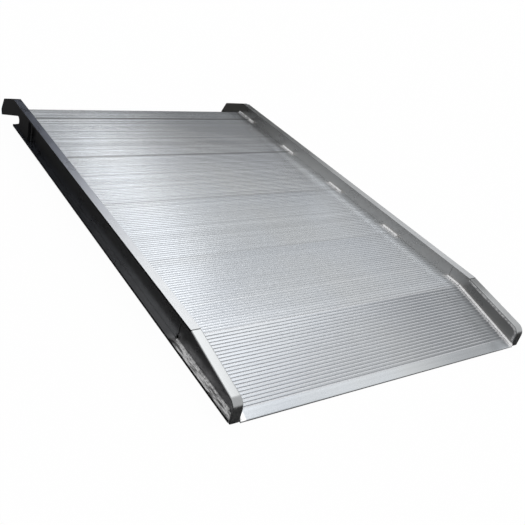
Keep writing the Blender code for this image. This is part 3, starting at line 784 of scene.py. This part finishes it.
class RampFinishSettings(bpy.types.PropertyGroup):
    """Colours and dullness of the metals."""

    deck_color: FloatVectorProperty(
        name="Deck", description="Clean ribbed extrusion", subtype="COLOR", default=(0.435, 0.46, 0.49)
    )
    deck_warm: FloatVectorProperty(
        name="Deck, worn", description="Ribbed extrusion where traffic dulled it", subtype="COLOR",
        default=(0.42, 0.435, 0.445),
    )
    # Painted light: the grooves are painted paler than the ribs, to lift the shade between the ribs.
    lit_groove_color: FloatVectorProperty(
        name="Grooves", description="Dirt and oxide between the ribs", subtype="COLOR",
        default=(0.56, 0.57, 0.59),
    )
    lit_groove_share: FloatProperty(
        name="Groove painted light", description="How far the grooves take their colour", default=0.8, min=0, max=1
    )
    dirt_color: FloatVectorProperty(
        name="Seams", description="Dirt in the seams between planks", subtype="COLOR",
        default=(0.11, 0.11, 0.11),
    )
    # Painted light: how strongly the painted reflection at the hook end falls from left to right.
    hook_end_painted_light: FloatProperty(
        name="Hook end painted light", description="Fall in brightness from left to right at the hook end",
        default=1.0,
    )
    frost_color: FloatVectorProperty(
        name="Weld frost", description="Pale bloom beside the welds", subtype="COLOR",
        default=(0.92, 0.92, 0.93),
    )
    # The flanges' own colour, which they keep towards the toe; towards the hook end a painted reflection and
    # painted shade take its place.
    rail_color: FloatVectorProperty(
        name="Rail flanges", description="Plain extruded channel where hands and use keep it bright",
        subtype="COLOR", default=(0.39, 0.40, 0.41),
    )
    # Painted reflection: the left rail's flanges at the hook end are painted with the sky's colour.
    rail_sky_reflection: FloatVectorProperty(
        name="Rail flanges, hook end", description="The same flanges where they take the colour of the sky",
        subtype="COLOR", default=(0.21, 0.23, 0.285),
    )
    # Painted shade: the right rail's flanges at the hook end are painted in shade.
    rail_shaded: FloatVectorProperty(
        name="Right flanges, hook end", description="The right rail's flanges, turned from the sky",
        subtype="COLOR", default=(0.19, 0.195, 0.197),
    )
    inner_color: FloatVectorProperty(
        name="Rail webs, inside", description="Webs and side plates towards the deck", subtype="COLOR",
        default=(0.385, 0.38, 0.37),
    )
    # Painted shade: the webs' outer faces are painted this dark colour; the outer edges, painted shade too,
    # and the soot at the web seam take a darker share of it.
    shaded_web_color: FloatVectorProperty(
        name="Rail webs, outside", description="Oxide and road dirt on the webs", subtype="COLOR",
        default=(0.16, 0.16, 0.165),
    )
    # Painted shade: the hook plates are painted near black, over the cut plate's own darker grey.
    hook_color_and_shade: FloatVectorProperty(
        name="Hook plates", description="Cut plate", subtype="COLOR", default=(0.045, 0.045, 0.047)
    )
    hook_roughness: FloatProperty(
        name="Hook plate dullness", description="Roughness of the cut plates", default=0.4, min=0, max=1
    )
    cap_color: FloatVectorProperty(
        name="Toe caps", description="Bent flat bar", subtype="COLOR", default=(0.37, 0.38, 0.385)
    )
    dust_color: FloatVectorProperty(
        name="Dust", description="Dry dust on the bottom flanges and the caps' fronts", subtype="COLOR",
        default=(0.82, 0.82, 0.82),
    )
    weld_color: FloatVectorProperty(
        name="Welds", description="Bright weld metal", subtype="COLOR", default=(0.98, 0.98, 0.98)
    )
    soot_color: FloatVectorProperty(
        name="Weld soot", description="Dull film on the welds", subtype="COLOR", default=(0.38, 0.38, 0.39)
    )
    dull_weld_shade: FloatProperty(
        name="Outer welds", description="Shade of the welds outside the rails and at the caps", default=0.62,
        min=0, max=1,
    )
    # Painted shade: the upright welds on the outer webs are painted dark.
    upright_weld_painted_shade: FloatProperty(
        name="Upright welds", description="Shade of the upright welds outside", default=0.12, min=0, max=1
    )
    deck_roughness: FloatProperty(
        name="Deck dullness", description="Roughness of the deck", default=0.17, min=0, max=1
    )
    line_depth: FloatProperty(
        name="Die line depth", description="Depth of the fine lines along the ribs", default=0.00002,
        unit="LENGTH",
    )
    rail_roughness: FloatProperty(
        name="Rail dullness", description="Roughness of rails and bars", default=0.29, min=0, max=1
    )


class RampShapeSettings(bpy.types.PropertyGroup):
    """Rounded edges and weld ripples."""

    rib_rounding: FloatProperty(
        name="Rib rounding", description="Rounding of the ribs' top edges", default=0.0006, unit="LENGTH"
    )
    edge_rounding: FloatProperty(
        name="Plank edge rounding", description="Radius on the planks' other edges", default=0.0003,
        unit="LENGTH",
    )
    tip_rounding: FloatProperty(
        name="Toe lip rounding", description="Radius at the end of the toe lip", default=0.0015, unit="LENGTH"
    )
    bar_rounding: FloatProperty(
        name="Toe cap rounding", description="Radius on the edges of the toe caps", default=0.0022,
        unit="LENGTH",
    )
    plate_rounding: FloatProperty(
        name="Plate rounding", description="Radius on the edges of rails and plates", default=0.0008,
        unit="LENGTH",
    )
    ripple_pitch: FloatProperty(
        name="Ripple pitch", description="Distance between two ripples of a weld", default=0.0042,
        unit="LENGTH",
    )
    swell_size: FloatProperty(
        name="Swell size", description="Size of the uneven swells of a weld", default=0.012, unit="LENGTH"
    )
    swell_height: FloatProperty(
        name="Swell height", description="Height of the uneven swells of a weld", default=0.0012,
        unit="LENGTH",
    )


class RampStudioSettings(bpy.types.PropertyGroup):
    """Camera, light and ground."""

    lens: FloatProperty(name="Lens", description="Focal length in millimetres", default=49.40, min=1)
    ground_size: FloatProperty(
        name="Ground", description="Side of the square ground", default=60.0, unit="LENGTH"
    )
    ground_color: FloatVectorProperty(
        name="Ground colour", description="Colour of the pale ground", subtype="COLOR",
        default=(0.9, 0.9, 0.9),
    )
    ground_glow: FloatProperty(
        name="Ground glow", description="How little of the ramp's shadow the ground shows", default=0.97,
        min=0, max=1,
    )
    mat_size: FloatVectorProperty(
        name="Mat", description="Size of the dark mat under the ramp", size=2, default=(5.0, 6.0),
        unit="LENGTH",
    )
    screen_distance: FloatProperty(
        name="Wall distance", description="Distance of the dark walls from the ramp", default=25.0,
        unit="LENGTH",
    )
    lamp_distance: FloatProperty(
        name="Lamp distance", description="Distance of the soft lamps from the ramp", default=40.0,
        unit="LENGTH",
    )
    lamp_level: FloatProperty(
        name="Lamp level", description="Brightness of the soft lamps", default=1.0, min=0
    )


MAT_HEIGHT = 0.0005
MAT_TONE = 0.10
WALL_TONE = 0.01
SKY_TONE = 0.8
# Dark walls of the yard, as the metal reflects them: left and right azimuth and top elevation, in degrees
# from +Y towards +X.
WALLS = (
    ("tall_wall", -35.8, 21.3, 39.9),
    ("low_wall", 21.3, 44.1, 24.6),
)
# Soft lamps: azimuth, elevation, lean to the right, width and length in degrees, and radiance.
SOFT_LAMPS = (
    ("edge_light", 29.3, 30.0, 42.4, 4.9, 14.6, 2.27),
    ("overhead", 40.6, 55.2, 0.0, 28.2, 38.6, 1.61),
)
CAMERA_PLACE = Vector((-1.2356, -1.6861, 1.0312))
CAMERA_LOOK = Vector((0.56525, 0.66524, -0.48779))
CAMERA_ROLL = math.radians(14.995)
SENSOR_WIDTH = 36.0
VIEW_DEPTH = 100.0


def add_camera(studio):
    """The camera at the photograph's angle, turned about its own line of sight as the ramp lies flat here."""
    data = bpy.data.cameras.new("camera")
    data.lens = studio.lens
    data.sensor_width = SENSOR_WIDTH
    data.clip_end = VIEW_DEPTH
    camera = bpy.data.objects.new("camera", data)
    camera.location = CAMERA_PLACE
    camera.rotation_mode = "QUATERNION"
    roll = Quaternion((0, 0, 1), CAMERA_ROLL)
    camera.rotation_quaternion = CAMERA_LOOK.to_track_quat("-Z", "Y") @ roll
    bpy.context.scene.collection.objects.link(camera)
    bpy.context.scene.camera = camera


def add_ground(studio):
    bpy.ops.object.select_all(action="DESELECT")
    bpy.ops.mesh.primitive_plane_add(size=studio.ground_size)
    ground = bpy.context.object
    ground.name = "ground"
    finish = Finish("ground")
    nodes = finish.tree.nodes
    shade = nodes["Principled BSDF"]
    shade.inputs["Base Color"].default_value = opaque(studio.ground_color)
    shade.inputs["Roughness"].default_value = 1.0
    shade.inputs["Specular IOR Level"].default_value = 0.0
    white = finish.node("ShaderNodeEmission", None, {"Color": (1, 1, 1, 1), "Strength": 1.0})
    share = finish.background_rays() * studio.ground_glow
    mixed = finish.node("ShaderNodeMixShader", None, {0: share, 1: Value(finish, shade.outputs[0]), 2: white})
    finish.tree.links.new(mixed.socket, nodes["Material Output"].inputs["Surface"])
    ground.data.materials.append(finish.material)


def add_screen(name, size, location, rotation, shade):
    """A dark screen that only the metal's reflections see, as the yard round the ramp was dark."""
    bpy.ops.object.select_all(action="DESELECT")
    bpy.ops.mesh.primitive_plane_add(size=1)
    screen = bpy.context.object
    screen.name = name
    screen.scale = (size[0], size[1], 1)
    screen.location = location
    screen.rotation_euler = rotation
    bpy.ops.object.transform_apply(location=True, rotation=True, scale=True)
    finish = Finish(name)
    shader = finish.tree.nodes["Principled BSDF"]
    shader.inputs["Base Color"].default_value = (shade, shade, shade, 1)
    shader.inputs["Roughness"].default_value = 1.0
    shader.inputs["Specular IOR Level"].default_value = 0.0
    screen.data.materials.append(finish.material)
    screen.visible_camera = False
    screen.visible_diffuse = False
    screen.visible_shadow = False
    screen.visible_transmission = False


def add_wall(name, left, right, top, distance):
    """A dark screen that stands on the ground between two azimuths, up to an elevation."""
    azimuth = math.radians((left + right) / 2)
    half = math.radians((right - left) / 2)
    height = distance * math.tan(math.radians(top))
    place = (distance * math.sin(azimuth), distance * math.cos(azimuth), height / 2)
    size = (2 * distance * math.tan(half), height)
    add_screen(name, size, place, (math.pi / 2, 0, -azimuth), WALL_TONE)


def add_world():
    world = bpy.data.worlds.new("studio")
    bpy.context.scene.world = world
    finish = Finish("studio", world)
    nodes = finish.tree.nodes
    seen = finish.background_rays()
    color = finish.mix(seen, (SKY_TONE, SKY_TONE, SKY_TONE, 1), (1, 1, 1, 1))
    background = nodes["Background"]
    finish.tree.links.new(color.socket, background.inputs["Color"])
    background.inputs["Strength"].default_value = 1.0


def add_lamp(name, azimuth, elevation, lean, width, length, radiance, studio):
    """A broad soft lamp that faces the ramp from far away, leaning to the right by an angle."""
    turn = Matrix.Rotation(math.radians(-azimuth), 3, "Z") @ Matrix.Rotation(math.radians(elevation), 3, "X")
    away = turn @ Vector((0, 1, 0))
    right = turn @ Vector((1, 0, 0))
    upward = right.cross(away)
    upright = Matrix.Rotation(math.radians(lean), 3, away)
    frame_axes = Matrix((upright @ -right, upright @ upward, away)).transposed()
    distance = studio.lamp_distance
    data = bpy.data.lights.new(name, "AREA")
    data.shape = "RECTANGLE"
    data.size = 2 * distance * math.tan(math.radians(width / 2))
    data.size_y = 2 * distance * math.tan(math.radians(length / 2))
    data.energy = radiance * math.pi * data.size * data.size_y * studio.lamp_level
    lamp = bpy.data.objects.new(name, data)
    lamp.matrix_world = Matrix.Translation(away * distance) @ frame_axes.to_4x4()
    bpy.context.scene.collection.objects.link(lamp)


class RAMP_OT_deck(bpy.types.Operator):
    """Dresses the ribbed deck, one extrusion at a time"""

    bl_idname = "ramp.deck"
    bl_label = "Deck planks"

    def execute(self, context):
        finishes = context.scene.ramp_finishes
        shapes = context.scene.ramp_shapes
        for node, look in PLANK_LOOKS.items():
            on_toe = node == "toe_plank"
            piece = rounded_copy(
                node, shapes.edge_rounding, (TOE_ANGLE if on_toe else TILT, shapes.rib_rounding),
                shapes.tip_rounding if on_toe else None,
            )
            settle(piece, f"{node}_ribbed", "deck", plank_finish(node, finishes, look), node)
        return {"FINISHED"}


class RAMP_OT_rails(bpy.types.Operator):
    """Dresses the channel rails and the plates that carry them to the toe"""

    bl_idname = "ramp.rails"
    bl_label = "Side rails"

    def execute(self, context):
        finishes = context.scene.ramp_finishes
        shapes = context.scene.ramp_shapes
        for label in SIDES:
            for node in (f"rail_{label}", f"toe_side_plate_{label}"):
                piece = rounded_copy(node, shapes.plate_rounding)
                metal = channel_finish(f"{node}_drawn", finishes, cap_joint(label))
                settle(piece, f"{node}_rounded", "rail", metal, node)
        return {"FINISHED"}


class RAMP_OT_hook_plates(bpy.types.Operator):
    """Dresses the thick plates of the two hooks"""

    bl_idname = "ramp.hook_plates"
    bl_label = "Hook plates"

    def execute(self, context):
        finishes = context.scene.ramp_finishes
        shapes = context.scene.ramp_shapes
        for label in SIDES:
            node = f"hook_plate_{label}"
            piece = rounded_copy(node, shapes.plate_rounding)
            finish = Finish(f"{node}_plate")
            # The hook plates' near-black colour is painted shade over their own grey.
            metal = drawn_metal(finish, opaque(finishes.hook_color_and_shade), PLATE_LINES, finishes.hook_roughness)
            settle(piece, f"{node}_rounded", "hook", metal, node)
        return {"FINISHED"}


class RAMP_OT_toe_caps(bpy.types.Operator):
    """Dresses the bent bars that close the rails at the toe"""

    bl_idname = "ramp.toe_caps"
    bl_label = "Toe caps"

    def execute(self, context):
        finishes = context.scene.ramp_finishes
        shapes = context.scene.ramp_shapes
        for label in SIDES:
            node = f"toe_cap_{label}"
            piece = rounded_copy(node, shapes.bar_rounding)
            metal = cap_finish(f"{node}_bar", finishes, cap_joint(label), corners(node)[0].y)
            settle(piece, f"{node}_bent", "toe_cap", metal, node)
        return {"FINISHED"}


class RAMP_OT_welds(bpy.types.Operator):
    """Lays the rippled weld beads over their places"""

    bl_idname = "ramp.welds"
    bl_label = "Welds"

    def execute(self, context):
        finishes = context.scene.ramp_finishes
        shapes = context.scene.ramp_shapes
        # Shade, share of soot, and how metallic each kind of weld metal is.
        bright, broken, dull, dark = (
            weld_finish(name, finishes, *look)
            for name, look in {
                "weld_metal": (1.0, 0.2, 0.1),
                "broken_weld_metal": (0.8, 1.0, 0.3),
                "dull_weld_metal": (finishes.dull_weld_shade, 0.75, 0.4),
                # The upright welds are painted dark as shade.
                "dark_weld_metal": (finishes.upright_weld_painted_shade, 0.75, 1.0),
            }.items()
        )
        for label, side in SIDES.items():
            for i in range(1, DECK_WELDS + 1):
                corner_weld(f"deck_weld_{label}_{i}", side, 1, shapes, broken if i == 1 else bright)
            for i in range(1, UNDERSIDE_WELDS + 1):
                corner_weld(f"underside_weld_{label}_{i}", side, -1, shapes, bright)
            corner_weld(f"toe_bead_{label}", side, 1, shapes, bright, TOE_ANGLE)
            corner_weld(f"toe_flange_weld_{label}", side, 1, shapes, dull, TILT, True)
            upright_weld(f"hook_weld_{label}", side, shapes, dark, False)
            upright_weld(f"web_seam_weld_{label}", side, shapes, dark, True)
            node = f"toe_cap_weld_{label}"
            settle(lumpy_copy(node, shapes), f"{node}_bead", "weld", dull, node)
        return {"FINISHED"}


class RAMP_OT_studio(bpy.types.Operator):
    """Sets the ground, the light and the camera"""

    bl_idname = "ramp.studio"
    bl_label = "Studio"

    def execute(self, context):
        studio = context.scene.ramp_studio
        add_ground(studio)
        add_screen("dark_mat", studio.mat_size, (0, 0, MAT_HEIGHT), (0, 0, 0), MAT_TONE)
        for name, left, right, top in WALLS:
            add_wall(name, left, right, top, studio.screen_distance)
        add_world()
        for light in SOFT_LAMPS:
            add_lamp(*light, studio)
        add_camera(studio)
        context.scene.view_settings.view_transform = "Standard"
        return {"FINISHED"}


class RAMP_PT_panel(bpy.types.Panel):
    """Lists the steps that dress the ramp"""

    bl_idname = "RAMP_PT_panel"
    bl_label = "Loading ramp"
    bl_space_type = "VIEW_3D"
    bl_region_type = "UI"
    bl_category = "Ramp"

    def draw(self, context):
        for operator in OPERATORS:
            self.layout.operator(operator.bl_idname)
        for settings in (context.scene.ramp_finishes, context.scene.ramp_shapes, context.scene.ramp_studio):
            for name in settings.__annotations__:
                self.layout.prop(settings, name)


OPERATORS = (
    RAMP_OT_deck,
    RAMP_OT_rails,
    RAMP_OT_hook_plates,
    RAMP_OT_toe_caps,
    RAMP_OT_welds,
    RAMP_OT_studio,
)
SETTINGS = {
    "ramp_finishes": RampFinishSettings,
    "ramp_shapes": RampShapeSettings,
    "ramp_studio": RampStudioSettings,
}


def register():
    for name, settings in SETTINGS.items():
        bpy.utils.register_class(settings)
        setattr(bpy.types.Scene, name, PointerProperty(type=settings))
    for operator in OPERATORS:
        bpy.utils.register_class(operator)
    bpy.utils.register_class(RAMP_PT_panel)


def unregister():
    bpy.utils.unregister_class(RAMP_PT_panel)
    for operator in reversed(OPERATORS):
        bpy.utils.unregister_class(operator)
    for name, settings in SETTINGS.items():
        delattr(bpy.types.Scene, name)
        bpy.utils.unregister_class(settings)


def main():
    register()
    bpy.ops.ramp.deck()
    bpy.ops.ramp.rails()
    bpy.ops.ramp.hook_plates()
    bpy.ops.ramp.toe_caps()
    bpy.ops.ramp.welds()
    bpy.ops.ramp.studio()


if __name__ == "__main__":
    main()
